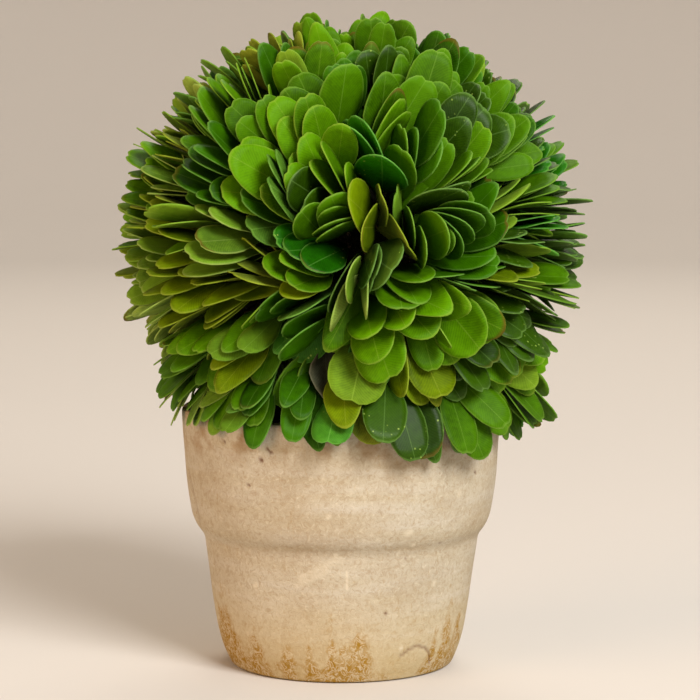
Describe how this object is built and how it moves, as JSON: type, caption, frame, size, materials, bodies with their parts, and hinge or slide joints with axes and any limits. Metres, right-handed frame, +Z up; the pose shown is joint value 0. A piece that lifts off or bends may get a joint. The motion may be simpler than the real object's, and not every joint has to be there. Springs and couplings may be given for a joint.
{
  "type": "preserved box topiary ball in a clay pot",
  "caption": "Small preserved box topiary: a clipped ball of layered leaves on a short hidden stem, standing in a round collared clay pot.",
  "frame": {"origin": "middle of the pot's flat underside", "axes": "+Z up the pot and the stem, -Y towards the show side, +X to the right of someone who looks at the show side"},
  "size_m": [0.1522, 0.1487, 0.2042],
  "materials": {
    "clay": "unglazed whitewashed clay, matt, ochre stains round the foot",
    "moss": "dry moss over a light foam block",
    "bark": "grey-brown bark",
    "leaf": "soft satin preserved leaf, mid to dark green"
  },
  "bodies": {
    "root": {"pot": "clay", "pot_fill": "moss", "stem": "bark", "foliage_ball": "leaf"}
  },
  "joints": []
}
